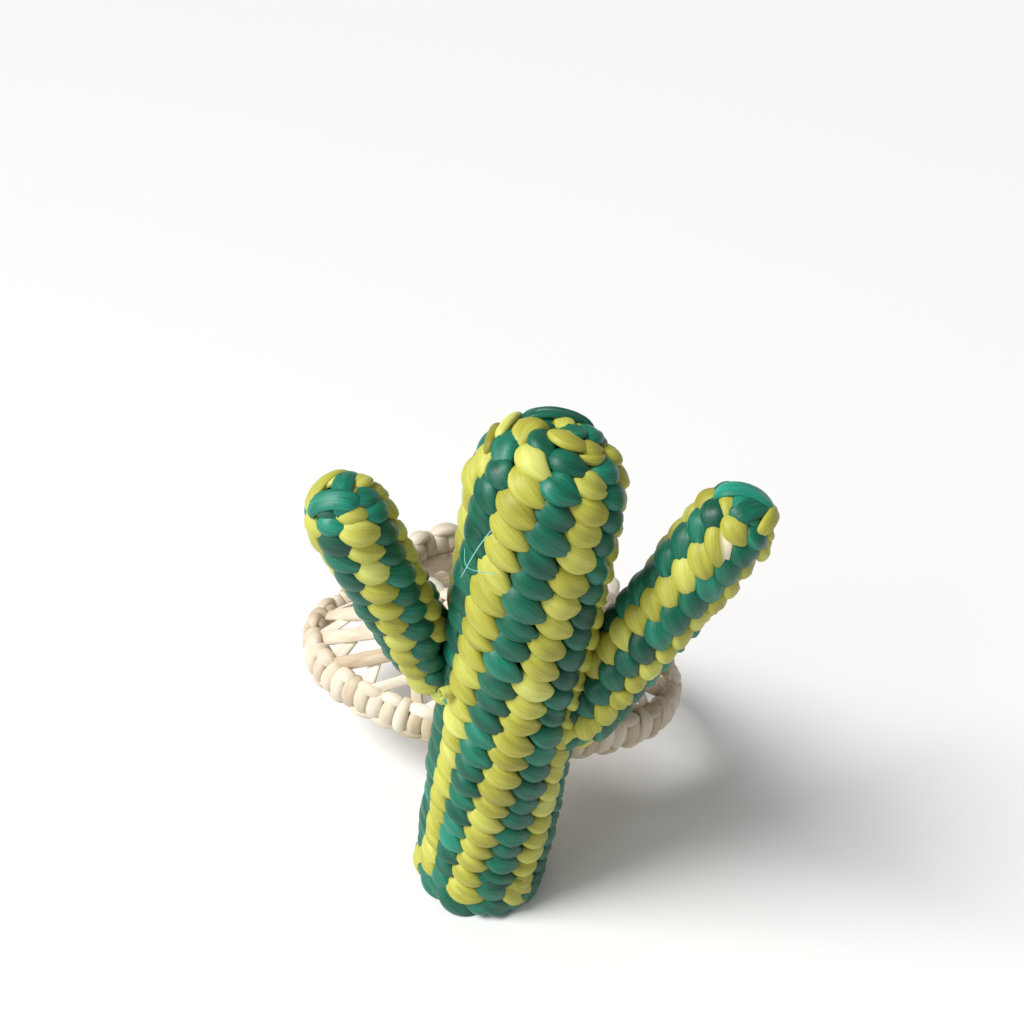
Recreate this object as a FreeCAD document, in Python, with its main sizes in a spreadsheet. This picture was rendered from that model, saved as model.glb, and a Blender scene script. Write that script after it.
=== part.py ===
"""Napkin ring with a small cactus figure, twined from two colours of palm straw.

Frame: millimetres, +Z up along the trunk, -Y to the front of the figure, origin on the middle of the trunk's foot.
The oval openwork ring is sewn to the back of the trunk, on its +Y side.
"""

import FreeCAD
import Part
import Sketcher

import math
import os

Vector = FreeCAD.Vector
Placement = FreeCAD.Placement
Rotation = FreeCAD.Rotation

DRIVING_SIZES = {
    # trunk: its columns start at an angle from +X and turn as they climb
    "trunk_height": 83.0,
    "trunk_radius": 10.8,
    "trunk_columns": 12,
    "trunk_start": 29.0,
    "trunk_twist": 52.0,
    "weft_thickness": 2.2,
    "stake_radius": 0.55,
    "foot_height": 6.0,
    "foot_draw_in": 0.5,
    "foot_rounding": 0.8,
    # clearances between neighbouring pieces
    "play": 0.08,
    # arms: where the first column starts, the elbow's centre, the length from there to the tip, and the lean
    "arm_columns": 8,
    "arm_twist": 60.0,
    "left_start": -5.0,
    "left_elbow_out": 10.6,
    "left_elbow_height": 40.5,
    "left_length": 36.0,
    "left_root_radius": 4.6,
    "left_tip_radius": 5.7,
    "left_lean": 28.0,
    "left_forward": 9.0,
    "right_start": 33.0,
    "right_elbow_out": 10.4,
    "right_elbow_height": 37.0,
    "right_length": 42.5,
    "right_root_radius": 5.4,
    "right_tip_radius": 5.9,
    "right_lean": 21.0,
    "right_forward": 0.0,
    # napkin ring: outer half-widths of its two oval rims
    "ring_bottom": 13.0,
    "ring_height": 30.0,
    "ring_aside": -3.0,
    "lower_half_width": 33.0,
    "lower_half_depth": 20.0,
    "upper_half_width": 18.0,
    "upper_half_depth": 12.0,
    "rim_half_height": 3.3,
    "rim_half_thickness": 1.9,
    "hoop_half_height": 2.0,
    "hoop_half_thickness": 0.8,
    "strand_radius": 0.85,
    "strands_per_lay": 18,
    "strand_lead": 30.0,
    # sewing
    "lashing_radius": 0.35,
    "lashing_spread": 2.6,
    "stub_radius": 0.8,
    "stub_length": 1.6,
    "stub_height": 41.0,
    "stub_turn": 48.0,
}

doc = FreeCAD.newDocument("cactus_napkin_ring")
sheet = doc.addObject("Spreadsheet::Sheet", "Sizes")
for row, (alias, value) in enumerate(DRIVING_SIZES.items(), start=1):
    sheet.set(f"A{row}", alias)
    sheet.set(f"B{row}", str(value))
    sheet.setAlias(f"B{row}", alias)
doc.recompute()

made = []

# How many sections a twisted stave or stake is lofted through.
TWIST_LEVELS = 7


def size(alias):
    """A driving size, read back from the sheet."""
    return float(sheet.get(alias))


def bind(item, **expressions):
    """Bind properties to the sheet: in an expression, [word] is the cell with that alias."""
    for prop, expression in expressions.items():
        item.setExpression(prop, expression.replace("[", "Sizes.").replace("]", ""))


def primitive(kind, name, **expressions):
    item = doc.addObject(f"Part::{kind}", name)
    bind(item, **expressions)
    return item


def lift(item, height_expression):
    """Raise a primitive along Z by a bound height."""
    bind(item, **{"Placement.Base.z": height_expression})
    return item


def boolean(kind, name, base, tool):
    item = doc.addObject(f"Part::{kind}", name)
    item.Base = base
    item.Tool = tool
    return item


def computed(name, shape, placement=None):
    """A piece that neither primitives nor sketches suit: its shape comes from Part's own functions."""
    item = doc.addObject("Part::Feature", name)
    item.Shape = shape
    if placement:
        item.Placement = placement
    return item


def node(label, item):
    """Name a finished sub-part: its label is the name of its file."""
    item.Label = label
    made.append(item)
    return item


# The layers of every tube, from the outside in: weft, stakes, core.
def layer_radii(outer):
    """Inner radius of the weft, radius of the stakes' circle and radius of the core under a given outer radius."""
    weft_inner = outer - size("weft_thickness")
    stake_circle = weft_inner - size("play") - size("stake_radius")
    core = stake_circle - size("stake_radius") - size("play")
    return weft_inner, stake_circle, core


def on_circle(radius, degrees, height):
    angle = math.radians(degrees)
    return Vector(radius * math.cos(angle), radius * math.sin(angle), height)


def sector_wire(inner, outer, start, width, height):
    """Outline of a ring sector, square to Z."""
    middle, end = start + width / 2, start + width
    return Part.Wire([
        Part.Arc(*[on_circle(outer, turn, height) for turn in (start, middle, end)]).toShape(),
        Part.makeLine(on_circle(outer, end, height), on_circle(inner, end, height)),
        Part.Arc(*[on_circle(inner, turn, height) for turn in (end, middle, start)]).toShape(),
        Part.makeLine(on_circle(inner, start, height), on_circle(outer, start, height)),
    ])


def weft_columns(columns, first, low, high, low_outer, high_outer, turn_from, twist):
    """Every second column of a tube's weft: each is one stave that turns with the stakes as it climbs."""
    thickness = size("weft_thickness")
    gap = math.degrees(size("play") / low_outer)
    pitch = 360.0 / columns
    staves = []
    for column in range(first, columns, 2):
        wires = []
        for level in range(TWIST_LEVELS):
            share = level / (TWIST_LEVELS - 1)
            outer = low_outer + (high_outer - low_outer) * share
            start = turn_from + column * pitch + twist * share + gap
            height = low + (high - low) * share
            wires.append(sector_wire(outer - thickness, outer, start, pitch - 2 * gap, height))
        staves.append(Part.makeLoft(wires, True))
    return Part.makeCompound(staves)


def stakes(columns, low, high, low_circle, high_circle, turn_from, twist):
    """The stakes that the weft is twined over, ribs of hexagonal section: one under the middle of each column."""
    pitch = 360.0 / columns
    rods = []
    for column in range(columns):
        wires = []
        for level in range(TWIST_LEVELS):
            share = level / (TWIST_LEVELS - 1)
            circle = low_circle + (high_circle - low_circle) * share
            turn = turn_from + (column + 0.5) * pitch + twist * share
            centre = on_circle(circle, turn, low + (high - low) * share)
            corners = [centre + on_circle(size("stake_radius"), 60 * corner, 0) for corner in range(7)]
            wires.append(Part.makePolygon(corners))
        rods.append(Part.makeLoft(wires, True))
    return Part.makeCompound(rods)


def make_trunk():
    radius, foot_height = size("trunk_radius"), size("foot_height")
    columns, start, twist = int(size("trunk_columns")), size("trunk_start"), size("trunk_twist")
    foot_start = start - twist * foot_height / (size("trunk_height") - radius - foot_height)
    weft_inner, stake_circle, _ = layer_radii(radius)
    dome_base = size("trunk_height") - radius

    core_radius = "[trunk_radius] - [weft_thickness] - 2 * [stake_radius] - 2 * [play]"
    shaft = primitive("Cylinder", "TrunkCoreShaft", Radius=core_radius,
                      Height="[trunk_height] - [trunk_radius]")
    cap = primitive("Sphere", "TrunkCoreCap", Radius=core_radius)
    lift(cap, "[trunk_height] - [trunk_radius]")
    node("trunk_core", boolean("Fuse", "TrunkCore", shaft, cap))

    whole_twist = start + twist - foot_start
    stake_shape = stakes(columns, 0, dome_base, stake_circle, stake_circle, foot_start, whole_twist)
    node("trunk_stakes", computed("TrunkStakes", stake_shape))
    for label, first in (("trunk_green_weft", 0), ("trunk_lime_weft", 1)):
        shape = weft_columns(columns, first, foot_height, dome_base, radius, radius, start, twist)
        node(label, computed(label.title().replace("_", ""), shape))

    outside = primitive("Sphere", "TrunkCrownOutside", Radius="[trunk_radius]")
    outside.Angle1 = 0
    inside = primitive("Sphere", "TrunkCrownInside", Radius="[trunk_radius] - [weft_thickness]")
    for ball in (outside, inside):
        lift(ball, "[trunk_height] - [trunk_radius]")
    node("trunk_crown", boolean("Cut", "TrunkCrown", outside, inside))
    node("trunk_foot_border", make_foot_border())


def make_foot_border():
    """The folded border that closes the trunk's foot: a revolved ring with its outer lower edge rounded."""
    body = doc.addObject("PartDesign::Body", "FootBorder")
    sketch = body.newObject("Sketcher::SketchObject", "FootBorderProfile")
    plane = [item for item in body.Origin.OriginFeatures if item.Role == "XZ_Plane"][0]
    sketch.AttachmentSupport = [(plane, "")]
    sketch.MapMode = "FlatFace"
    inner, outer, height = 8.0, 10.0, 6.0
    corners = [Vector(inner, 0, 0), Vector(outer, 0, 0), Vector(outer, height, 0), Vector(inner, height, 0)]
    for start, end in zip(corners, corners[1:] + corners[:1]):
        sketch.addGeometry(Part.LineSegment(start, end))
    for edge in range(4):
        sketch.addConstraint(Sketcher.Constraint("Coincident", edge, 2, (edge + 1) % 4, 1))
        sketch.addConstraint(Sketcher.Constraint("Vertical" if edge % 2 else "Horizontal", edge))
    sketch.addConstraint(Sketcher.Constraint("PointOnObject", 0, 1, -1))
    limits = (("inner", "DistanceX", (0, 1), inner), ("outer", "DistanceX", (0, 2), outer),
              ("height", "DistanceY", (1, 2), height))
    for name, kind, point, start_value in limits:
        index = sketch.addConstraint(Sketcher.Constraint(kind, -1, 1, point[0], point[1], start_value))
        sketch.renameConstraint(index, name)
    bind(sketch, **{"Constraints.inner": "[trunk_radius] - [weft_thickness]",
                    "Constraints.outer": "[trunk_radius] - [foot_draw_in]",
                    "Constraints.height": "[foot_height]"})
    ring = body.newObject("PartDesign::Revolution", "FootBorderRing")
    ring.Profile = sketch
    ring.ReferenceAxis = (sketch, ["V_Axis"])
    ring.Angle = 360
    doc.recompute()
    rounding = body.newObject("PartDesign::Fillet", "FootBorderRounding")
    outer_radius = size("trunk_radius") - size("foot_draw_in")
    outer_edges = [f"Edge{number}" for number, edge in enumerate(ring.Shape.Edges, start=1)
                   if edge.BoundBox.ZMax < 1e-6 and abs(edge.BoundBox.XMax - outer_radius) < 1e-3]
    rounding.Base = (ring, outer_edges)
    bind(rounding, Radius="[foot_rounding]")
    body.Tip = rounding
    return body


def arm_placement(side, elbow_out, elbow_height, lean, forward):
    """Where an arm stands: its own +Z runs from the elbow's centre to its tip."""
    turn = Rotation(Vector(0, 1, 0), side * lean)
    swing = Rotation(Vector(1, 0, 0), forward)
    return Placement(Vector(side * elbow_out, 0, elbow_height), swing.multiply(turn))


def make_arm(word, side, envelope):
    """One arm: core, stakes, two wefts, the rounded elbow and the crown, each cut back to the trunk's surface."""
    root, tip, length = size(f"{word}_root_radius"), size(f"{word}_tip_radius"), size(f"{word}_length")
    columns, start, twist = int(size("arm_columns")), size(f"{word}_start"), size("arm_twist")
    stance = [size(f"{word}_{key}") for key in ("elbow_out", "elbow_height", "lean", "forward")]
    place = arm_placement(side, *stance)
    top = length - tip
    root_inner, root_circle, root_core = layer_radii(root)
    tip_inner, tip_circle, tip_core = layer_radii(tip)

    core = Part.makeCone(root_core, tip_core, top)
    ends = [Part.makeSphere(root_core), Part.makeSphere(tip_core, Vector(0, 0, top))]
    core = core.fuse(ends).removeSplitter()
    half = 2 * max(root, tip)
    below = Part.makeBox(2 * half, 2 * half, half, Vector(-half, -half, -half))
    above = Part.makeBox(2 * half, 2 * half, half, Vector(-half, -half, top))
    elbow = Part.makeSphere(root).cut(Part.makeSphere(root_inner)).common(below)
    crown_top = Vector(0, 0, top)
    crown = Part.makeSphere(tip, crown_top).cut(Part.makeSphere(tip_inner, crown_top)).common(above)
    pieces = {
        "core": core,
        "stakes": stakes(columns, 0, top, root_circle, tip_circle, start, twist),
        "green_weft": weft_columns(columns, 0, 0, top, root, tip, start, twist),
        "lime_weft": weft_columns(columns, 1, 0, top, root, tip, start, twist),
        "elbow": elbow,
        "crown": crown,
    }
    for key, shape in pieces.items():
        label = f"{word}_arm_{key}"
        whole = computed(label.title().replace("_", "") + "Whole", shape, place)
        node(label, boolean("Cut", label.title().replace("_", ""), whole, envelope))


def ring_centre(half_depth):
    """How far behind the trunk's axis a rim's centre lies when its front just touches the trunk's back."""
    reach = size("trunk_radius") + half_depth
    return math.sqrt(reach * reach - size("ring_aside") ** 2)


def rim(half_width, half_depth, height):
    """A rim's place and half-widths at the middle of its cord."""
    inset = size("rim_half_thickness")
    centre = Vector(size("ring_aside"), ring_centre(half_depth), height)
    return centre, half_width - inset, half_depth - inset


def rim_point(rim_data, degrees, offset=0.0):
    centre, wide, deep = rim_data
    angle = math.radians(degrees)
    return centre + Vector((wide + offset) * math.cos(angle), (deep + offset) * math.sin(angle), 0)


def rim_tube(rim_data, half_height, half_thickness):
    """A cord of upright oval section bent along a rim."""
    centre, wide, deep = rim_data
    path = Part.Circle(centre, Vector(0, 0, 1), wide)
    if wide > deep:
        path = Part.Ellipse(centre, wide, deep)
    elif deep > wide:
        path = Part.Ellipse(centre + Vector(0, deep, 0), centre + Vector(wide, 0, 0), centre)
    spine = Part.Wire(path.toShape())
    start = spine.Edges[0].valueAt(spine.Edges[0].FirstParameter)
    outwards = (start - centre).normalize()
    section = Part.Ellipse(start + Vector(0, 0, half_height), start + outwards * half_thickness, start)
    return spine.makePipeShell([Part.Wire(section.toShape())], True, True)


def strand_lay(lower, upper, direction, offset, radius, neighbours):
    """One lay of straight strands from rim to rim, all leaning the same way, trimmed by what they meet."""
    count, lead = int(size("strands_per_lay")), size("strand_lead")
    rods = []
    for number in range(count):
        middle = 360.0 * number / count
        start = rim_point(lower, middle - direction * lead, offset)
        end = rim_point(upper, middle + direction * lead, offset)
        rod = Part.makeCylinder(radius, start.distanceToPoint(end), start, end - start)
        close_by = [shape for shape in neighbours if shape.BoundBox.intersect(rod.BoundBox)]
        trimmed = rod.cut(close_by)
        rods.append(max(trimmed.Solids, key=lambda solid: solid.Volume))
    return Part.makeCompound(rods)


def make_ring(envelope):
    rim_size = size("rim_half_height"), size("rim_half_thickness")
    hoop_size = size("hoop_half_height"), size("hoop_half_thickness")
    room_for_hoop = [half + size("play") / 2 for half in hoop_size]
    low = size("ring_bottom") + rim_size[0]
    high = size("ring_bottom") + size("ring_height") - rim_size[0]
    lower = rim(size("lower_half_width"), size("lower_half_depth"), low)
    upper = rim(size("upper_half_width"), size("upper_half_depth"), high)
    borders = []
    for word, data in (("lower", lower), ("upper", upper)):
        border = rim_tube(data, *rim_size)
        borders.append(border)
        node(f"ring_{word}_hoop", computed(f"Ring{word.title()}Hoop", rim_tube(data, *hoop_size)))
        whole = computed(f"Ring{word.title()}BorderWhole", border.cut(rim_tube(data, *room_for_hoop)))
        node(f"ring_{word}_border", boolean("Cut", f"Ring{word.title()}Border", whole, envelope))

    loops = []
    for word, data in (("lower", lower), ("upper", upper)):
        loops.append(lashing_loops(data))
        whole = computed(f"{word.title()}LashingWhole", loops[-1])
        node(f"{word}_lashing", boolean("Cut", f"{word.title()}Lashing", whole, envelope))

    thread = [loop for pair in loops for loop in pair.Solids]

    # The outer lay lies over the inner one, whose straws are pressed in a little where they cross.
    apart = size("strand_radius") + size("play") / 2
    outer_lay = strand_lay(lower, upper, 1, apart, size("strand_radius"), borders + thread)
    press = strand_lay(lower, upper, 1, apart, size("strand_radius") + size("play") / 2, borders)
    inner_lay = strand_lay(lower, upper, -1, -apart, size("strand_radius"), borders + thread + press.Solids)
    for label, shape in (("ring_right_lay", outer_lay), ("ring_left_lay", inner_lay)):
        whole = computed(label.title().replace("_", "") + "Whole", shape)
        node(label, boolean("Cut", label.title().replace("_", ""), whole, envelope))


def lashing_loops(data):
    """Two loops of thread round a border, which enter the trunk's weave on both sides of the point where it touches."""
    centre = data[0]
    towards_trunk = math.degrees(math.atan2(-centre.y, -centre.x))
    thread = size("lashing_radius")
    loop_radius = size("rim_half_height") + thread + size("play")
    spread = math.degrees(size("lashing_spread") / data[2])
    loops = []
    for side in (-1, 1):
        angle = towards_trunk + side * spread
        along = rim_point(data, angle + 1) - rim_point(data, angle - 1)
        loops.append(Part.makeTorus(loop_radius, thread, rim_point(data, angle), along))
    return Part.makeCompound(loops)


def make_straw_stub(envelope):
    """The snipped end of a straw that stands out of the weave beside the left arm."""
    turn = -90.0 - size("stub_turn")
    start = on_circle(size("trunk_radius") - size("stub_length"), turn, size("stub_height"))
    shape = Part.makeCylinder(size("stub_radius"), 2 * size("stub_length"), start, on_circle(1, turn, 0))
    whole = computed("StrawStubWhole", shape)
    node("straw_stub", boolean("Cut", "StrawStub", whole, envelope))


def trunk_envelope():
    """What the arms, the ring and the lashings are cut back to: the trunk's outside, with its play."""
    shaft = primitive("Cylinder", "EnvelopeShaft", Radius="[trunk_radius] + [play] / 2",
                      Height="[trunk_height] - [trunk_radius]")
    cap = primitive("Sphere", "EnvelopeCap", Radius="[trunk_radius] + [play] / 2")
    lift(cap, "[trunk_height] - [trunk_radius]")
    return boolean("Fuse", "Envelope", shaft, cap)


envelope = trunk_envelope()
make_trunk()
make_arm("left", -1, envelope)
make_arm("right", 1, envelope)
make_ring(envelope)
make_straw_stub(envelope)
doc.recompute()

faults = [item.Name for item in doc.Objects if "Invalid" in item.State or "Error" in item.State]
faults += [item.Label for item in made if item.Shape.isNull() or not item.Shape.isValid() or not item.Shape.Solids]
if faults:
    raise RuntimeError(f"these objects failed: {faults}")

os.makedirs("parts", exist_ok=True)
for item in made:
    item.Shape.exportStep(os.path.join("parts", f"{item.Label}.step"))
    print(f"{item.Label}: {len(item.Shape.Solids)} solids, {item.Shape.Volume:.1f} mm3")
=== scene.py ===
"""Looks of a cactus napkin ring twined from green, lime and undyed palm straw, built round its CAD frame.

Lengths in this script are millimetres until a mesh is made, which is in metres.
"""

import math

import bpy
import numpy as np
from mathutils import Matrix, Vector


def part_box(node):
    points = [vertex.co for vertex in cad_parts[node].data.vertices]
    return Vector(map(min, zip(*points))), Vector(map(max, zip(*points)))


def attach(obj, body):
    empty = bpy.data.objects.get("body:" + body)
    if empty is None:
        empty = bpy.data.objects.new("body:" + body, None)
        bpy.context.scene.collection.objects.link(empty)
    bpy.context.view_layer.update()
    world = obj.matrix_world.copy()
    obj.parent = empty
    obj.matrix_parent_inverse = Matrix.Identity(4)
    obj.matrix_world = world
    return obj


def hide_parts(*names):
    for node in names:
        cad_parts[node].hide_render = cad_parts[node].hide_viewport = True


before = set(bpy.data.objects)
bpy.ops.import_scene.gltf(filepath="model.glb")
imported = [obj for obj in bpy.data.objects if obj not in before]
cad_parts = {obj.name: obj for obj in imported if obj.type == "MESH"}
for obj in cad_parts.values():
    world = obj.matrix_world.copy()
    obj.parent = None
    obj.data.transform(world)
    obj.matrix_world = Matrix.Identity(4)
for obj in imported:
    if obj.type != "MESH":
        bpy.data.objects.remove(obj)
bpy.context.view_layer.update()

MM = 0.001
SEED = 7
UP = np.array([0.0, 0.0, 1.0])
# Points lower than this are squeezed together above the floor, so that no straw goes through it.
FLOOR_SQUASH = 0.6

# The trunk's twining: where its first green column starts at the foot's height, and how far the columns turn
# from there up to the dome, in degrees.
TRUNK_COLUMNS = 12
TRUNK_START = 29.0
TRUNK_TWIST = 52.0
FOOT_HEIGHT = 6.0
# Rows stand closer together at the foot than at the top.
FOOT_PITCH = 3.05
TOP_PITCH = 3.6
# The first row's height, how low the middle of a stitch in the rows may be, and how far up the dome the rows
# go, in radians.
TRUNK_FIRST_ROW = 0.9
LOWEST_STITCH = 2.2
TRUNK_DOME_REACH = 1.36
# The foot is drawn in by this much, and how fast that fades on the way up.
FOOT_DRAW_IN = 0.55
DRAW_IN_FADE = 16
# Green strand ends folded up round the foot.
FOOT_STRANDS = 16
# Low on the left the columns are turned towards the front: where this is centred, how many degrees it reaches
# to the front and to the back of that, how far it turns them, and the height at which it ends.
CROWD_ANGLE = 198.0
CROWD_FRONT = 58.0
CROWD_BACK = 110.0
CROWD_TURN = 27.0
CROWD_HEIGHT = 52.0

# The arms: the same twining, a little fuller than the CAD solids. An arm's length is from its elbow's centre
# to its tip, its lean is to the side, and tip_bend moves the tip off the CAD axis.
ARM_COLUMNS = 8
ARM_TWIST = 60.0
ARM_PITCH = 3.3
ARM_FULLNESS = 0.25
# Where an arm's first row lies along its axis, and how many tip radii its rows go on from the dome's start.
ARM_FIRST_ROW = 1.2
ARM_DOME_REACH = 1.25
# An arm's axis starts this far nearer the trunk's axis than its elbow's centre, and this far below it.
ARM_ROOT_INSET = 5.0
ARM_ROOT_DROP = 1.8
# The deepest that the middle of an arm's stitch lies inside the trunk's surface.
TRUNK_OVERLAP = 1.6
LEFT_ARM = {"start": -5, "lean": 28, "forward": 9, "length": 36, "root_radius": 4.6, "tip_radius": 5.7,
            "tip_bend": (1.1, -0.5, 0.1)}
RIGHT_ARM = {"start": 33, "lean": 21, "forward": 0, "length": 42.5, "root_radius": 5.4, "tip_radius": 5.9,
             "tip_bend": (0, 0, 0)}

# The snipped stub: its radius, and how far it stands from its CAD node round the trunk (degrees) and up it.
STUB_RADIUS = 0.72
STUB_TURN = 5.0
STUB_RISE = 1.2

# The ring's wall: strands in each lay, and how many degrees round the ring each end of a strand stands from
# its middle.
STRANDS_PER_LAY = 18
STRAND_LEAD = 30.0

# A strand's cross-section: the power that makes it fuller than an oval, its underside's bulge as a share of
# its face's, and a crease's width in half widths of the strand.
SECTION_POWER = 0.8
UNDERSIDE_SHARE = 0.6
CREASE_WIDTH = 0.13

# How far the fibre pattern is slid from shade 0 to shade 1, so that strands of different shades carry
# different fibres.
FIBRE_SLIDE_ALONG = 37.0
FIBRE_SLIDE_AROUND = 11.0


def node_box(name):
    """Lowest and highest corners of a CAD node, in millimetres."""
    low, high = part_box(name)
    return np.array(low) / MM, np.array(high) / MM


def unit(vectors):
    """Vectors along the last axis, scaled to length 1."""
    return vectors / np.maximum(np.linalg.norm(vectors, axis=-1, keepdims=True), 1e-9)


def smooth_path(points, count):
    """Evenly many points on a Catmull-Rom curve through a few points."""
    points = np.array(points, float)
    padded = np.vstack([2 * points[0] - points[1], points, 2 * points[-1] - points[-2]])
    spans = len(points) - 1
    position = np.linspace(0, spans, count)
    first = np.minimum(position.astype(int), spans - 1)
    t = (position - first)[:, None]
    a, b, c, d = (padded[first + i] for i in range(4))
    return 0.5 * (2 * b + (c - a) * t + (2 * a - 5 * b + 4 * c - d) * t**2 + (3 * b - a - 3 * c + d) * t**3)


# ---------------------------------------------------------------- strands


class Strands:
    """Many lengths of straw gathered into one mesh, each with its own shade and its fibres' direction."""

    RING = 16

    def __init__(self, name):
        self.name = name
        self.points = []
        self.faces = []
        self.fibre = []
        self.shade = []
        self.bleach = []

    def add(self, centres, normals, half_width, half_thickness, shade=0.5, creases=(), tilt=0.0, bleach=0.0):
        """One length of straw: its middle line, the way its face looks, and its size all along."""
        count = len(centres)
        ring = self.RING
        along = unit(np.gradient(centres, axis=0))
        side = unit(np.cross(normals, along))
        face = unit(np.cross(along, side))
        turned_side = side * math.cos(tilt) - face * math.sin(tilt)
        turned_face = face * math.cos(tilt) + side * math.sin(tilt)
        turn = -math.pi / 2 + 2 * math.pi * np.arange(ring) / ring
        across = np.cos(turn)
        bulge = np.sign(np.sin(turn)) * np.abs(np.sin(turn)) ** SECTION_POWER
        bulge = np.where(bulge < 0, UNDERSIDE_SHARE * bulge, bulge)
        depth = np.zeros(ring)
        for place, deepness in creases:
            depth += deepness * np.exp(-(((across - place) / CREASE_WIDTH) ** 2)) * (np.sin(turn) > 0)
        half_width = np.broadcast_to(half_width, (count,))
        half_thickness = np.broadcast_to(half_thickness, (count,))
        height = bulge[None, :] * half_thickness[:, None] - depth[None, :] * half_width[:, None]
        ring_points = (
            centres[:, None, :]
            + turned_side[:, None, :] * (across[None, :] * half_width[:, None])[..., None]
            + turned_face[:, None, :] * height[..., None]
        )
        near_floor = np.minimum(ring_points[..., 2], FLOOR_SQUASH)
        ring_points[..., 2] += FLOOR_SQUASH * np.exp(near_floor / FLOOR_SQUASH - 1) - near_floor
        start = sum(len(p) for p in self.points)
        self.points.append(ring_points.reshape(-1, 3))
        steps = np.linalg.norm(np.diff(centres, axis=0), axis=1)
        distance = np.concatenate([[0.0], np.cumsum(steps)]) + FIBRE_SLIDE_ALONG * shade
        around = turn / (2 * math.pi) * 4 * half_width.max()
        self.fibre.append(
            np.stack([np.broadcast_to(around + FIBRE_SLIDE_AROUND * shade, (count, ring)),
                      np.broadcast_to(distance[:, None], (count, ring))], axis=-1).reshape(-1, 2)
        )
        self.shade.append(np.full(count * ring, shade))
        whitened = bleach * (across > 0.1)
        self.bleach.append(np.broadcast_to(whitened, (count, ring)).reshape(-1))
        index = start + np.arange(count * ring).reshape(count, ring)
        following = np.roll(index, -1, axis=1)
        quads = np.stack([index[:-1], following[:-1], following[1:], index[1:]], axis=-1).reshape(-1, 4)
        self.faces.extend(quads.tolist())
        self.faces.append(index[0][::-1].tolist())
        self.faces.append(index[-1].tolist())

    def finish(self, material, replaced):
        """Make the object, smooth its shading, and hang it on the frame."""
        mesh = bpy.data.meshes.new(self.name)
        points = np.concatenate(self.points) * MM
        mesh.from_pydata(points.tolist(), [], self.faces)
        fibre = np.concatenate(self.fibre)
        corners = np.zeros(len(mesh.loops), int)
        mesh.loops.foreach_get("vertex_index", corners)
        layer = mesh.uv_layers.new(name="fibre")
        layer.data.foreach_set("uv", fibre[corners].astype(np.float32).ravel())
        for name, values in (("shade", self.shade), ("bleach", self.bleach)):
            attribute = mesh.attributes.new(name, "FLOAT", "POINT")
            attribute.data.foreach_set("value", np.concatenate(values).astype(np.float32))
        mesh.polygons.foreach_set("use_smooth", [True] * len(mesh.polygons))
        mesh.update()
        piece = bpy.data.objects.new(self.name, mesh)
        bpy.context.scene.collection.objects.link(piece)
        mesh.materials.append(material)
        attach(piece, "root")
        if replaced:
            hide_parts(*replaced)
        return piece


# ---------------------------------------------------------------- twined tubes


class Tube:
    """The outside of a woven tube with a domed tip, along a curved axis.

    A place on it is an angle round the axis and a length along it, which carries on over the dome.
    """

    def __init__(self, axis, radius_at, angle_zero):
        self.axis = smooth_path(axis, 160)
        steps = np.linalg.norm(np.diff(self.axis, axis=0), axis=1)
        self.lengths = np.concatenate([[0.0], np.cumsum(steps)])
        self.straight = self.lengths[-1]
        self.tangents = unit(np.gradient(self.axis, axis=0))
        self.first = unit(angle_zero - self.tangents * (self.tangents @ angle_zero)[:, None])
        self.second = np.cross(self.tangents, self.first)
        self.radius_at = radius_at
        self.tip_radius = radius_at(1.0)

    def _along(self, table, length):
        return np.stack([np.interp(length, self.lengths, table[:, i]) for i in range(3)], axis=-1)

    def place(self, angle, length, lift):
        """Points and outward normals at angles (degrees), lengths and heights above the surface."""
        angle, length, lift = np.broadcast_arrays(np.radians(angle), length, lift)
        on_axis = np.minimum(length, self.straight)
        centre = self._along(self.axis, on_axis)
        ahead = unit(self._along(self.tangents, on_axis))
        outward = (
            self._along(self.first, on_axis) * np.cos(angle)[..., None]
            + self._along(self.second, on_axis) * np.sin(angle)[..., None]
        )
        radius = self.radius_at(on_axis / self.straight)
        polar = np.clip((length - self.straight) / self.tip_radius, 0, 1.5)[..., None]
        normal = outward * np.cos(polar) + ahead * np.sin(polar)
        return centre + normal * (radius + lift)[..., None], normal

    def girth_radius(self, length):
        """How far the surface is from the axis: it shrinks over the dome."""
        polar = np.clip((length - self.straight) / self.tip_radius, 0, 1.45)
        return float(self.radius_at(min(length / self.straight, 1.0)) * np.cos(polar))

    def local_pitch(self, angle, length, pitch):
        """The real spacing of two rows at this side of a bend."""
        below, _ = self.place(angle, length - pitch / 2, 0)
        above, _ = self.place(angle, length + pitch / 2, 0)
        return float(np.linalg.norm(above - below))


# Points along a stitch, how far its top lies under the tube's surface, and how steeply it falls across its
# column at the root of a tube, with what is added towards the tip.
STITCH_STEPS = 17
STITCH_SINK = 0.2
ROOT_STEEPNESS = 0.62
ADDED_STEEPNESS = 0.34
# A dome closes with fewer stitches from these polar angles (radians) on.
FEWER_STITCHES_FROM = 0.75
FEWEST_STITCHES_FROM = 1.1


def leaf_outline(t, start_power, end_power):
    """Width of a stitch along its length: full in the middle, drawn to a point at both ends."""
    power = np.where(t < 0, start_power, end_power)
    return np.maximum(1 - np.abs(t) ** power, 0.02)


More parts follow.
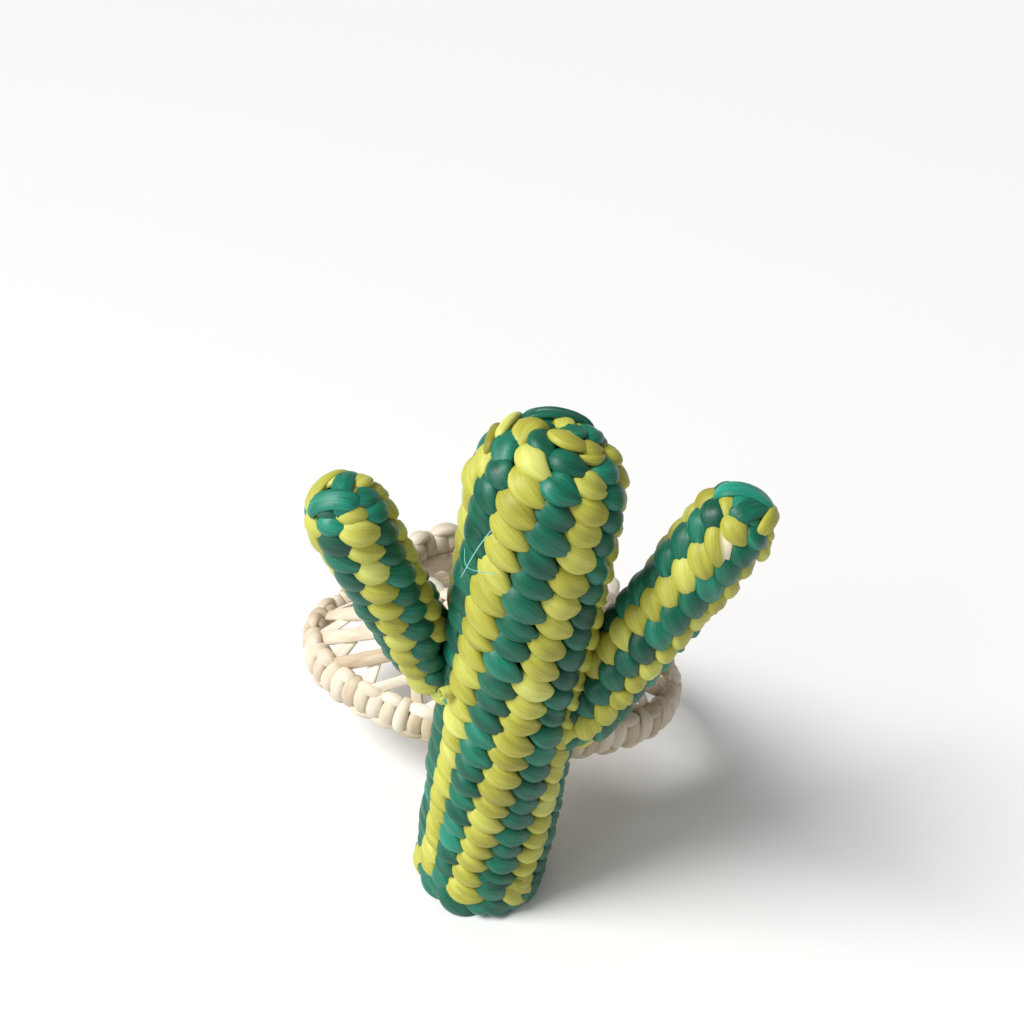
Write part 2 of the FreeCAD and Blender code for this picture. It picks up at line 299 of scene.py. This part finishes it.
def add_stitch(strands, tube, angle, length, column, pitch, rng, slant=None, proud=0.0, bleach=0.0):
    """One pass over a stake: out from under its upper left neighbour, and to a point at the lower right."""
    radius = tube.girth_radius(length)
    room = 2 * math.pi * radius * column / 360
    spacing = float(np.clip(tube.local_pitch(angle, length, pitch), 0.62 * pitch, 1.7 * pitch))
    if slant is None:
        steepness = ROOT_STEEPNESS + ADDED_STEEPNESS * min(length / tube.straight, 1)
        slant = math.atan2(steepness * spacing, room) + rng.normal(0, 0.07)
    half_length = 0.5 * room * rng.uniform(1.32, 1.5) / math.cos(slant)
    half_width = 0.5 * spacing * rng.uniform(1.04, 1.2)
    t = np.linspace(-1, 1, STITCH_STEPS)
    run = t * half_length
    bow = rng.uniform(-0.02, 0.1) * spacing * (1 - t**2)
    turn = np.degrees(run * math.cos(slant) / max(radius, 1.2))
    rise = -run * math.sin(slant) - bow
    thickness = min(1.25, 0.32 * room) * rng.uniform(0.9, 1.1)
    dive = min(1.6, 0.34 * room) * np.where(t < 0, np.abs(t) ** 1.9, 0.55 * np.abs(t) ** 3.0)
    lift = proud - STITCH_SINK - thickness - dive + rng.normal(0, 0.12)
    centres, normals = tube.place(angle + turn, length + rise, lift)
    outline = leaf_outline(t, rng.uniform(2.0, 2.8), rng.uniform(1.3, 1.7))
    creases = [(rng.uniform(-0.6, 0.7), rng.uniform(0.05, 0.2)) for _ in range(rng.integers(1, 4))]
    strands.add(
        centres, normals, half_width * outline, thickness * (0.35 + 0.65 * outline),
        shade=float(np.clip(rng.normal(0.5, 0.13), 0, 1)), creases=creases, tilt=rng.uniform(0.1, 0.34),
        bleach=bleach,
    )


def row_lengths(tube, first, foot_pitch, top_pitch, last):
    """Where each row lies along a tube, and its spacing, which opens out towards the top."""
    rows = []
    length = first
    while length < last:
        pitch = foot_pitch + (top_pitch - foot_pitch) * min(length / tube.straight, 1)
        rows.append((length, pitch))
        length += pitch
    return rows


def twine(tube, columns, angle_at, rows, colours, rng, keep=None, streaked=()):
    """Rows of stitches in columns of alternate colour, climbing as a spiral; fewer stitches close a dome."""
    for row, (length, pitch) in enumerate(rows):
        polar = (length - tube.straight) / tube.tip_radius
        count = columns // 2
        if polar < FEWER_STITCHES_FROM:
            count = columns
        elif polar < FEWEST_STITCHES_FROM:
            count = 2 * columns // 3
        for k in range(count):
            at = length + pitch * k / count
            before, after = (angle_at(at, (k + end) * 360 / count) for end in (0, 1))
            angle = (before + after) / 2
            spot, _ = tube.place(angle, at, 0)
            if keep is None or keep(spot, at):
                bleach = 1.0 if (k, row) in streaked else 0.0
                add_stitch(colours[k % 2], tube, angle, at, after - before, pitch, rng, bleach=bleach)


# How wide a band is at its ends, as a share of its full width.
BAND_END = 0.12


def add_band(strands, points, width, thickness, outward_from, rng):
    """A long flat strand along a smooth path, its face turned away from a given point."""
    centres = smooth_path(points, 26)
    normals = unit(centres - outward_from)
    t = np.linspace(-1, 1, len(centres))
    outline = np.maximum(1 - np.abs(t) ** 5, BAND_END)
    folds = [(rng.uniform(-0.6, 0.6), rng.uniform(0.03, 0.09)) for _ in range(2)]
    strands.add(
        centres, normals, width / 2 * outline, thickness / 2 * np.maximum(outline, 0.3),
        shade=float(np.clip(rng.normal(0.5, 0.22), 0, 1)), creases=folds,
    )


def over_dome(tube, heading, offset, reach, proud):
    """Points of an arc over a domed tip, by heading and half span (degrees) and distance to one side."""
    centre = tube.axis[-1]
    ahead = tube.tangents[-1]
    first, second = tube.first[-1], tube.second[-1]
    turn = math.radians(heading)
    forward = first * math.cos(turn) + second * math.sin(turn)
    aside = np.cross(ahead, forward)
    radius = tube.tip_radius + proud
    points = []
    for polar in np.radians(np.linspace(-reach, reach, 7)):
        drop = 1.2 * (abs(polar) / math.radians(reach)) ** 4
        level = math.sqrt(max((radius - drop) ** 2 - offset**2, 0.1))
        over = forward * level * math.sin(polar) + ahead * level * math.cos(polar)
        points.append(centre + aside * offset + over)
    return points


# ---------------------------------------------------------------- materials


def srgb(red, green, blue):
    """A colour of the 0 to 255 kind as the linear one that shaders take."""
    values = []
    for channel in (red, green, blue):
        share = channel / 255
        values.append(share / 12.92 if share <= 0.04045 else ((share + 0.055) / 1.055) ** 2.4)
    return (*values, 1.0)


# Undyed straw, which a streaked stitch shows along one side.
BARE_STRAW = (236, 226, 196)


def straw(name, dark, middle, light, roughness):
    """Split palm leaf: fine fibres along each strand, a shade for each strand, a satin face."""
    material = bpy.data.materials.new(name)
    material.use_nodes = True
    tree = material.node_tree
    nodes, links = tree.nodes, tree.links
    shader = nodes["Principled BSDF"]
    uv = nodes.new("ShaderNodeUVMap")
    uv.uv_map = "fibre"
    stretch = nodes.new("ShaderNodeMapping")
    stretch.inputs["Scale"].default_value = (7.8, 0.22, 1)
    fibres = nodes.new("ShaderNodeTexNoise")
    fibres.inputs["Scale"].default_value = 1.0
    fibres.inputs["Detail"].default_value = 6
    fibres.inputs["Roughness"].default_value = 0.65
    broad = nodes.new("ShaderNodeMapping")
    broad.inputs["Scale"].default_value = (0.9, 0.16, 1)
    bands = nodes.new("ShaderNodeTexNoise")
    bands.inputs["Scale"].default_value = 1.0
    bands.inputs["Detail"].default_value = 2
    for mapping, noise in ((stretch, fibres), (broad, bands)):
        links.new(uv.outputs["UV"], mapping.inputs["Vector"])
        links.new(mapping.outputs["Vector"], noise.inputs["Vector"])
    shade = nodes.new("ShaderNodeAttribute")
    shade.attribute_name = "shade"
    lighter = nodes.new("ShaderNodeMath")
    lighter.operation = "MULTIPLY_ADD"
    lighter.inputs[1].default_value = 0.55
    add = nodes.new("ShaderNodeMath")
    add.operation = "MULTIPLY_ADD"
    add.inputs[1].default_value = 0.45
    third = nodes.new("ShaderNodeMath")
    third.operation = "MULTIPLY_ADD"
    third.inputs[1].default_value = 0.5
    third.inputs[2].default_value = -0.25
    links.new(fibres.outputs["Fac"], third.inputs[0])
    links.new(bands.outputs["Fac"], add.inputs[0])
    links.new(third.outputs[0], add.inputs[2])
    links.new(shade.outputs["Fac"], lighter.inputs[0])
    links.new(add.outputs[0], lighter.inputs[2])
    ramp = nodes.new("ShaderNodeValToRGB")
    ramp.color_ramp.elements[0].position = 0.22
    ramp.color_ramp.elements[0].color = srgb(*dark)
    ramp.color_ramp.elements[1].position = 0.78
    ramp.color_ramp.elements[1].color = srgb(*light)
    ramp.color_ramp.elements.new(0.5).color = srgb(*middle)
    links.new(lighter.outputs[0], ramp.inputs["Fac"])
    bleach = nodes.new("ShaderNodeAttribute")
    bleach.attribute_name = "bleach"
    faded = nodes.new("ShaderNodeMix")
    faded.data_type = "RGBA"
    faded.inputs["B"].default_value = srgb(*BARE_STRAW)
    links.new(bleach.outputs["Fac"], faded.inputs["Factor"])
    links.new(ramp.outputs["Color"], faded.inputs["A"])
    links.new(faded.outputs["Result"], shader.inputs["Base Color"])
    gloss = nodes.new("ShaderNodeMapRange")
    gloss.inputs["To Min"].default_value = roughness - 0.07
    gloss.inputs["To Max"].default_value = roughness + 0.13
    links.new(fibres.outputs["Fac"], gloss.inputs["Value"])
    links.new(gloss.outputs["Result"], shader.inputs["Roughness"])
    bump = nodes.new("ShaderNodeBump")
    bump.inputs["Strength"].default_value = 0.5
    bump.inputs["Distance"].default_value = 0.00012
    links.new(fibres.outputs["Fac"], bump.inputs["Height"])
    links.new(bump.outputs["Normal"], shader.inputs["Normal"])
    shader.inputs["Specular IOR Level"].default_value = 0.45
    shader.inputs["Sheen Weight"].default_value = 0.03
    return material


def hidden_straw(name, dark, light, scale):
    """The stakes, filling, hoops and thread, of which little is seen: streaks along the piece."""
    material = bpy.data.materials.new(name)
    material.use_nodes = True
    nodes, links = material.node_tree.nodes, material.node_tree.links
    shader = nodes["Principled BSDF"]
    place = nodes.new("ShaderNodeTexCoord")
    stretch = nodes.new("ShaderNodeMapping")
    stretch.inputs["Scale"].default_value = scale
    noise = nodes.new("ShaderNodeTexNoise")
    noise.inputs["Scale"].default_value = 1.0
    noise.inputs["Detail"].default_value = 4
    links.new(place.outputs["Object"], stretch.inputs["Vector"])
    links.new(stretch.outputs["Vector"], noise.inputs["Vector"])
    ramp = nodes.new("ShaderNodeValToRGB")
    ramp.color_ramp.elements[0].position = 0.3
    ramp.color_ramp.elements[0].color = srgb(*dark)
    ramp.color_ramp.elements[1].position = 0.7
    ramp.color_ramp.elements[1].color = srgb(*light)
    links.new(noise.outputs["Fac"], ramp.inputs["Fac"])
    links.new(ramp.outputs["Color"], shader.inputs["Base Color"])
    bump = nodes.new("ShaderNodeBump")
    bump.inputs["Strength"].default_value = 0.6
    bump.inputs["Distance"].default_value = 0.0001
    links.new(noise.outputs["Fac"], bump.inputs["Height"])
    links.new(bump.outputs["Normal"], shader.inputs["Normal"])
    shader.inputs["Roughness"].default_value = 0.7
    return material


GREEN = straw("green_palm", (2, 50, 36), (6, 100, 76), (34, 156, 130), 0.36)
LIME = straw("lime_palm", (138, 132, 38), (184, 182, 70), (216, 220, 118), 0.44)
CREAM = straw("natural_palm", (176, 152, 122), (214, 198, 174), (236, 228, 212), 0.5)
PALE_FIBRE = straw("pale_fibre", (96, 172, 158), (130, 198, 186), (170, 220, 210), 0.4)
# The stakes and the filling are near-black green. This is painted shade for the deep gaps between the
# stitches, where these parts show through.
STAKES_PAINTED_SHADE = hidden_straw("stake_palm_painted_shade", (6, 24, 16), (16, 54, 36), (2500, 2500, 160))
FILLING_PAINTED_SHADE = hidden_straw("filling_palm_painted_shade", (8, 20, 14), (20, 46, 32), (900, 900, 200))
HOOP = hidden_straw("hoop_palm", (150, 128, 96), (206, 186, 150), (500, 500, 1800))
THREAD = hidden_straw("waxed_thread", (176, 160, 128), (226, 214, 188), (3000, 3000, 900))


# ---------------------------------------------------------------- trunk

crown_low, crown_high = node_box("trunk_crown")
TRUNK_RADIUS = (crown_high[0] - crown_low[0]) / 2
DOME_START = crown_high[2] - TRUNK_RADIUS


def trunk_radius(share):
    """A straight trunk, drawn in a little at its foot."""
    return TRUNK_RADIUS - FOOT_DRAW_IN * np.exp(-np.asarray(share, float) * DRAW_IN_FADE)


trunk = Tube([(0, 0, 0), (0, 0, DOME_START / 2), (0, 0, DOME_START)], trunk_radius, np.array([1.0, 0, 0]))


def trunk_angle(length, column_angle):
    """Where a column's edge stands at a height. Low down the left columns are crowded to the front."""
    angle = TRUNK_START + TRUNK_TWIST * (length - FOOT_HEIGHT) / (DOME_START - FOOT_HEIGHT) + column_angle
    from_left = (angle - CROWD_ANGLE + 180) % 360 - 180
    near = max(0.0, 1 - max(from_left / CROWD_FRONT, -from_left / CROWD_BACK)) ** 1.3
    return angle + CROWD_TURN * near * max(0.0, 1 - length / CROWD_HEIGHT)


def make_trunk():
    """The rows of green and lime stitches from the foot up over the dome."""
    rng = np.random.default_rng(SEED)
    green = Strands("trunk_green_stitches")
    lime = Strands("trunk_lime_stitches")
    last_row = DOME_START + TRUNK_DOME_REACH * TRUNK_RADIUS
    rows = row_lengths(trunk, TRUNK_FIRST_ROW, FOOT_PITCH, TOP_PITCH, last_row)

    def above_foot(spot, length):
        return length > LOWEST_STITCH

    twine(trunk, TRUNK_COLUMNS, trunk_angle, rows, (green, lime), rng, keep=above_foot)
    green.finish(GREEN, ["trunk_green_weft"])
    lime.finish(LIME, ["trunk_lime_weft"])


def make_crown():
    """Strands that finish the top: two lime ones at its left edge, and thin green ones laid over its back."""
    rng = np.random.default_rng(SEED + 1)
    green = Strands("trunk_crown_green_strands")
    lime = Strands("trunk_crown_lime_strands")
    centre = trunk.axis[-1]
    for heading, offset, reach, width, proud, strands in (
        (84, 7.6, 34, 1.5, 0.1, lime),
        (70, 6.2, 30, 1.6, 0.1, lime),
        (10, 2.6, 28, 1.5, -0.1, green),
        (-8, 4.2, 33, 1.6, 0.1, green),
        (6, 5.6, 34, 1.8, 0.0, green),
        (-3, 7.0, 30, 1.6, -0.1, green),
    ):
        add_band(strands, over_dome(trunk, heading, offset, reach, proud - 0.5), width, 1.3, centre, rng)
    green.finish(GREEN, ["trunk_crown"])
    lime.finish(LIME, [])


def make_foot():
    """The foot: strand ends folded up and tucked behind each other, less tidy than the rows above."""
    rng = np.random.default_rng(SEED + 2)
    green = Strands("trunk_foot_green_strands")
    lime = Strands("trunk_foot_lime_strands")
    for k in range(FOOT_STRANDS):
        angle = k * 360 / FOOT_STRANDS + rng.uniform(-7, 7)
        add_stitch(green, trunk, angle, rng.uniform(1.5, 3.0), 36, 3.5, rng,
                   slant=rng.uniform(-0.5, 0.7), proud=rng.uniform(-0.1, 0.4))
    for angle, length, slant in (
        (312, 4.2, 0.75),
        (258, 5.0, 0.2),
        (196, 3.2, 0.4),
        (80, 3.0, 0.3),
        (20, 4.0, 0.5),
    ):
        add_stitch(lime, trunk, angle, length, 34, 4.2, rng, slant=slant, proud=0.35)
    green.finish(GREEN, ["trunk_foot_border"])
    lime.finish(LIME, [])


# ---------------------------------------------------------------- arms


def make_arm(name, side, sizes, streaked=()):
    """One arm: rows from inside the trunk's side, round the elbow and up to a domed tip."""
    rng = np.random.default_rng(SEED + 10 + side)
    low, high = node_box(f"{name}_crown")
    tip_radius = sizes["tip_radius"]
    middle = high[0] - tip_radius if side > 0 else low[0] + tip_radius
    tip = np.array([middle, low[1] + tip_radius, high[2] - tip_radius])
    lean, forward = math.radians(sizes["lean"]), math.radians(sizes["forward"])
    ahead = np.array([side * math.sin(lean), -math.cos(lean) * math.sin(forward),
                      math.cos(lean) * math.cos(forward)])
    run = ahead * (sizes["length"] - tip_radius)
    elbow = tip - run
    inside = elbow + np.array([-side * ARM_ROOT_INSET, 0, -ARM_ROOT_DROP])
    bend = np.array(sizes["tip_bend"], float)
    axis = [inside, elbow + run * 0.03, elbow + run * 0.33 + bend * 0.2, elbow + run * 0.68 + bend * 0.6,
            tip + bend]
    root_radius = sizes["root_radius"] + ARM_FULLNESS

    def radius_at(share):
        return root_radius + (tip_radius + ARM_FULLNESS - root_radius) * np.clip(share * 1.4 - 0.1, 0, 1)

    tube = Tube(axis, radius_at, np.array([1.0, 0.0, 0.0]))
    buried = np.linalg.norm(elbow - inside)
    green = Strands(f"{name}_green_stitches")
    lime = Strands(f"{name}_lime_stitches")
    last_row = tube.straight + ARM_DOME_REACH * tip_radius
    rows = row_lengths(tube, ARM_FIRST_ROW, ARM_PITCH, ARM_PITCH, last_row)

    def arm_angle(length, column_angle):
        return sizes["start"] + ARM_TWIST * (length - buried) / (tube.straight - buried) + column_angle

    def outside_trunk(spot, length):
        return math.hypot(spot[0], spot[1]) > TRUNK_RADIUS - TRUNK_OVERLAP

    twine(tube, ARM_COLUMNS, arm_angle, rows, (green, lime), rng, keep=outside_trunk, streaked=streaked)
    green.finish(GREEN, [f"{name}_green_weft", f"{name}_elbow"])
    lime.finish(LIME, [f"{name}_lime_weft"])
    return tube


def make_arm_crown(name, tube, bands):
    """Strands folded over an arm's tip, each by heading, offset, half span, width, height and colour."""
    rng = np.random.default_rng(SEED + 20 + len(name))
    green = Strands(f"{name}_crown_green_strands")
    lime = Strands(f"{name}_crown_lime_strands")
    for heading, offset, reach, width, proud, is_lime in bands:
        add_band(lime if is_lime else green, over_dome(tube, heading, offset, reach, proud - 0.5),
                 width, 1.2, tube.axis[-1], rng)
    green.finish(GREEN, [f"{name}_crown"])
    lime.finish(LIME, [])


# ---------------------------------------------------------------- napkin ring

# Half a rim's thickness from its inside to its outside, and how far apart its upright turns of straw stand.
RIM_HALF_THICKNESS = 1.9
WRAP_SPACING = 2.35
# The wall's ribbons: points along each, half its thickness, and how far inside a rim's edge it ends.
RIBBON_POINTS = 24
RIBBON_HALF_THICKNESS = 0.45
RIBBON_TUCK = 2.2


class Rim:
    """An oval rim: places on its middle line by angle, and on its rounded cross-section."""

    def __init__(self, node):
        low, high = node_box(node)
        self.centre = (low + high) / 2
        self.half = (high - low)[:2] / 2 - RIM_HALF_THICKNESS
        self.half_height = (high[2] - low[2]) / 2
        turns = np.linspace(0, 360, 721)
        points = self.at(turns)[0]
        self.turns = turns
        self.girth = np.concatenate([[0.0], np.cumsum(np.linalg.norm(np.diff(points, axis=0), axis=1))])

    def at(self, degrees):
        """Points on the middle line, and the level way out from each."""
        turn = np.radians(np.asarray(degrees, float))
        point = np.stack([self.centre[0] + self.half[0] * np.cos(turn),
                          self.centre[1] + self.half[1] * np.sin(turn),
                          np.full_like(turn, self.centre[2])], axis=-1)
        outward = unit(np.stack([np.cos(turn) / self.half[0], np.sin(turn) / self.half[1],
                                 np.zeros_like(turn)], axis=-1))
        return point, outward

    def spread(self, count):
        """Angles of evenly spaced places round the rim."""
        return np.interp(np.arange(count) / count * self.girth[-1], self.girth, self.turns)

    def around_section(self, degrees, section, lift, shift=0.0):
        """Points on the rim's rounded cross-section, and their normals."""
        section = np.radians(np.asarray(section, float))
        point, outward = self.at(degrees)
        ahead = np.cross(UP, outward)
        normal = unit(outward * (np.cos(section) / RIM_HALF_THICKNESS)[..., None]
                      + UP * (np.sin(section) / self.half_height)[..., None])
        place = (point + outward * (RIM_HALF_THICKNESS * np.cos(section))[..., None]
                 + UP * (self.half_height * np.sin(section))[..., None]
                 + ahead * np.asarray(shift)[..., None] + normal * np.asarray(lift)[..., None])
        return place, normal


def add_wrap(strands, rim, degrees, rng, half_width):
    """One upright turn of straw round the rim."""
    section = np.linspace(-178, 178, 22)
    lean = rng.normal(0.25, 0.22)
    swell = rng.normal(0, 0.12)
    shift = lean * np.sin(np.radians(section))
    degrees = np.full_like(section, degrees)
    centres, normals = rim.around_section(degrees, section, np.full_like(section, swell - 0.62), shift)
    plump = 0.86 + 0.14 * np.cos(np.radians(section) * 2 + rng.uniform(-0.6, 0.6))
    creases = [(rng.uniform(-0.6, 0.6), rng.uniform(0.02, 0.1)) for _ in range(rng.integers(1, 3))]
    strands.add(centres, normals, half_width * plump, 0.95 * plump,
                shade=float(np.clip(rng.normal(0.56, 0.2), 0, 1)), creases=creases)


def add_puff(strands, rim, degrees, section, rng, half_length, half_width, proud):
    """A short plump stitch along the rim, at one place on its cross-section."""
    t = np.linspace(-1, 1, 11)
    per_degree = rim.girth[-1] / 360
    slope = rng.normal(0, 7)
    centres, normals = rim.around_section(
        degrees + t * half_length / per_degree, section + slope * t, proud - 0.75 - 1.1 * np.abs(t) ** 2.4
    )
    outline = np.maximum(1 - np.abs(t) ** 2.6, 0.02) ** 0.6
    creases = [(rng.uniform(-0.5, 0.5), rng.uniform(0.03, 0.1))]
    strands.add(centres, normals, half_width * outline, 0.95 * (0.4 + 0.6 * outline),
                shade=float(np.clip(rng.normal(0.55, 0.22), 0, 1)), creases=creases)


lower_rim = Rim("ring_lower_border")
upper_rim = Rim("ring_upper_border")


def make_border(name, rim, replaced, puff_rows):
    """One rim's straw: upright turns all round, and rows of short plump stitches along its edges."""
    rng = np.random.default_rng(SEED + 40 + len(name))
    wraps = Strands(f"{name}_wraps")
    count = int(rim.girth[-1] / WRAP_SPACING)
    for degrees in rim.spread(count):
        add_wrap(wraps, rim, degrees, rng, WRAP_SPACING * rng.uniform(0.52, 0.62))
    wraps.finish(CREAM, [replaced])
    puffs = Strands(f"{name}_puffs")
    for section, every, half_length, half_width, proud in puff_rows:
        for degrees in rim.spread(int(rim.girth[-1] / every)):
            add_puff(puffs, rim, degrees + rng.uniform(-1, 1), section + rng.uniform(-6, 6), rng,
                     half_length * rng.uniform(0.85, 1.15), half_width * rng.uniform(0.85, 1.15), proud)
    puffs.finish(CREAM, [])


def make_lay(name, node, way, lift, width):
    """One set of slanting wall strands: flat ribbons from the lower rim up to the upper rim."""
    rng = np.random.default_rng(SEED + 60 + way)
    ribbons = Strands(name)
    for k in range(STRANDS_PER_LAY):
        turn = k * 360 / STRANDS_PER_LAY
        foot, foot_out = lower_rim.at(turn - way * STRAND_LEAD)
        head, head_out = upper_rim.at(turn + way * STRAND_LEAD)
        share = np.linspace(0, 1, RIBBON_POINTS)[:, None]
        normals = unit(foot_out * (1 - share) + head_out * share)
        foot = foot + UP * (lower_rim.half_height - RIBBON_TUCK)
        head = head - UP * (upper_rim.half_height - RIBBON_TUCK)
        centres = foot * (1 - share) + head * share
        bow = np.sin(np.pi * share)
        centres = centres + normals * (lift * (0.3 + 0.7 * bow))
        roll = rng.uniform(-0.35, 0.35)
        turn_share = np.linspace(-1, 1, RIBBON_POINTS)[:, None]
        along = unit(np.gradient(centres, axis=0))
        side = unit(np.cross(normals, along))
        faces = unit(normals * np.cos(roll * turn_share) + side * np.sin(roll * turn_share))
        half_width = width / 2 * (1 + 0.14 * np.sin(share[:, 0] * 5 + rng.uniform(0, 6)))
        creases = [(rng.uniform(-0.6, 0.6), rng.uniform(0.03, 0.12)) for _ in range(2)]
        ribbons.add(centres, faces, half_width, RIBBON_HALF_THICKNESS, creases=creases,
                    shade=float(np.clip(rng.normal(0.6, 0.2), 0, 1)))
    ribbons.finish(CREAM, [node])


# ---------------------------------------------------------------- loose ends


def make_stub():
    """The snipped end of a lime strand: a short hollow curl standing out of the trunk's side."""
    low, high = node_box("straw_stub")
    x, y, z = (low + high) / 2
    place, outward = trunk.place(math.degrees(math.atan2(y, x)) - STUB_TURN, z + STUB_RISE, 0.1)
    second = unit(np.cross(UP, outward))
    first = np.cross(second, outward)
    turn = np.linspace(0, 1.9 * math.pi, 22)[:, None]
    spokes = first * np.cos(turn) + second * np.sin(turn)
    curl = Strands("straw_stub_curl")
    curl.add(place + spokes * STUB_RADIUS, spokes, 0.95, 0.17, shade=0.75)
    curl.finish(LIME, ["straw_stub"])


def add_fibre(strands, tube, places, radius):
    """A hair of straw lying over the surface: places are (angle, length, height above it)."""
    points = [tube.place(angle, length, lift)[0] for angle, length, lift in places]
    centres = smooth_path(points, 24)
    normals = np.tile(unit(tube.place(places[0][0], places[0][1], 0)[1]), (24, 1))
    strands.add(centres, normals, radius, radius)


# ---------------------------------------------------------------- build

make_trunk()
make_crown()
make_foot()
left_tube = make_arm("left_arm", -1, LEFT_ARM)
right_tube = make_arm("right_arm", 1, RIGHT_ARM, streaked=((3, 12),))
make_arm_crown("left_arm", left_tube, (
    (20, 1.4, 58, 3.0, 0.0, True), (95, -1.5, 60, 2.8, 0.1, False), (60, 1.6, 55, 2.6, 0.35, True),
    (0, -2.2, 52, 2.8, 0.3, False)))
make_arm_crown("right_arm", right_tube, (
    (95, 1.4, 58, 3.0, 0.0, False), (40, -1.5, 60, 3.0, 0.1, False), (5, 0.4, 60, 3.2, 0.4, False),
    (70, -3.2, 50, 2.2, 0.5, True)))
make_border("ring_lower_border", lower_rim, "ring_lower_border",
            ((-62, 4.6, 2.6, 1.25, 0.35), (70, 4.8, 2.3, 1.2, 0.3)))
make_border("ring_upper_border", upper_rim, "ring_upper_border",
            ((88, 4.6, 3.0, 1.45, 0.4), (-68, 4.8, 2.2, 1.1, 0.2)))
make_lay("ring_right_ribbons", "ring_right_lay", 1, 0.7, 2.3)
make_lay("ring_left_ribbons", "ring_left_lay", -1, -0.5, 2.3)

make_stub()
fibres = Strands("loose_fibres")
add_fibre(fibres, trunk, ((238, 72, 0.2), (233, 69, 1.2), (227, 65, 1.5), (217, 62, 0.3)), 0.07)
add_fibre(fibres, trunk, ((216, 66.5, 0.2), (228, 65.5, 1.2), (246, 66, 0.1)), 0.055)
fibres.finish(PALE_FIBRE, [])

# The CAD nodes that are shown as they are, and the material of each.
KEPT = {
    "trunk_core": FILLING_PAINTED_SHADE, "left_arm_core": FILLING_PAINTED_SHADE, "right_arm_core": FILLING_PAINTED_SHADE,
    "trunk_stakes": STAKES_PAINTED_SHADE, "left_arm_stakes": STAKES_PAINTED_SHADE, "right_arm_stakes": STAKES_PAINTED_SHADE,
    "ring_lower_hoop": HOOP, "ring_upper_hoop": HOOP,
    "lower_lashing": THREAD, "upper_lashing": THREAD,
}
for node_name, material in KEPT.items():
    for material_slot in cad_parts[node_name].material_slots:
        material_slot.material = material


# ---------------------------------------------------------------- floor, light, camera

# The floor and the lights are in metres, the camera is in millimetres, and all angles are in degrees.
FLOOR_HALF_SIDE = 4.0
LIGHT_TARGET = (0, 0.01, 0.045)
KEY_STRENGTH = 3.3
KEY_SPREAD = 26
KEY_HEADING = (0.72, 0.28, -0.8)
SKY_STRENGTH = 0.26
CAMERA_AIM = (-3.77, 0, 68.63)
CAMERA_ELEVATION = 34.27
CAMERA_DISTANCE = 151.9
CAMERA_ROLL = 9.052
CAMERA_LENS = 41.84


def make_floor():
    """A plain pale floor under the foot."""
    mesh = bpy.data.meshes.new("floor")
    corners = [(x * FLOOR_HALF_SIDE, y * FLOOR_HALF_SIDE, 0) for x, y in ((-1, -1), (1, -1), (1, 1), (-1, 1))]
    mesh.from_pydata(corners, [], [(0, 1, 2, 3)])
    floor = bpy.data.objects.new("floor", mesh)
    bpy.context.scene.collection.objects.link(floor)
    material = bpy.data.materials.new("pale_floor")
    material.use_nodes = True
    shader = material.node_tree.nodes["Principled BSDF"]
    shader.inputs["Base Color"].default_value = (0.93, 0.93, 0.93, 1)
    shader.inputs["Roughness"].default_value = 0.9
    shader.inputs["Specular IOR Level"].default_value = 0.1
    mesh.materials.append(material)


def add_area_light(name, place, aim, side, power, colour):
    """A square soft light of a given side, turned to face a point."""
    data = bpy.data.lights.new(name, "AREA")
    data.size = side
    data.energy = power
    data.color = colour
    lamp = bpy.data.objects.new(name, data)
    lamp.location = place
    lamp.rotation_euler = (Vector(aim) - Vector(place)).to_track_quat("-Z", "Y").to_euler()
    bpy.context.scene.collection.objects.link(lamp)


def make_camera():
    """The view from above the front, with the head tipped so that the trunk leans to the right."""
    aim = Vector(CAMERA_AIM) * MM
    elevation = math.radians(CAMERA_ELEVATION)
    distance = CAMERA_DISTANCE * MM
    roll = math.radians(CAMERA_ROLL)
    back = Vector((0, -math.cos(elevation), math.sin(elevation)))
    right = Vector((1, 0, 0))
    up = back.cross(right)
    across = right * math.cos(roll) + up * math.sin(roll)
    upward = up * math.cos(roll) - right * math.sin(roll)
    data = bpy.data.cameras.new("camera")
    data.lens = CAMERA_LENS
    data.sensor_width = 36
    data.clip_start = 0.01
    camera = bpy.data.objects.new("camera", data)
    bpy.context.scene.collection.objects.link(camera)
    turned = Matrix((across, upward, back)).transposed().to_4x4()
    camera.matrix_world = Matrix.Translation(aim + back * distance) @ turned
    bpy.context.scene.camera = camera


def add_key_light():
    """A wide soft light from the upper left, the same all over the floor."""
    data = bpy.data.lights.new("key_light", "SUN")
    data.energy = KEY_STRENGTH
    data.angle = math.radians(KEY_SPREAD)
    data.color = (1.0, 0.99, 0.97)
    lamp = bpy.data.objects.new("key_light", data)
    lamp.rotation_euler = Vector(KEY_HEADING).to_track_quat("-Z", "Y").to_euler()
    bpy.context.scene.collection.objects.link(lamp)


make_floor()
add_key_light()
add_area_light("left_strip", (-0.3, -0.25, 0.22), LIGHT_TARGET, 0.25, 0.45, (0.93, 1.0, 1.0))
world = bpy.data.worlds.new("studio")
world.use_nodes = True
world.node_tree.nodes["Background"].inputs["Color"].default_value = (1, 1, 1, 1)
world.node_tree.nodes["Background"].inputs["Strength"].default_value = SKY_STRENGTH
bpy.context.scene.world = world
bpy.context.scene.view_settings.view_transform = "Standard"
make_camera()
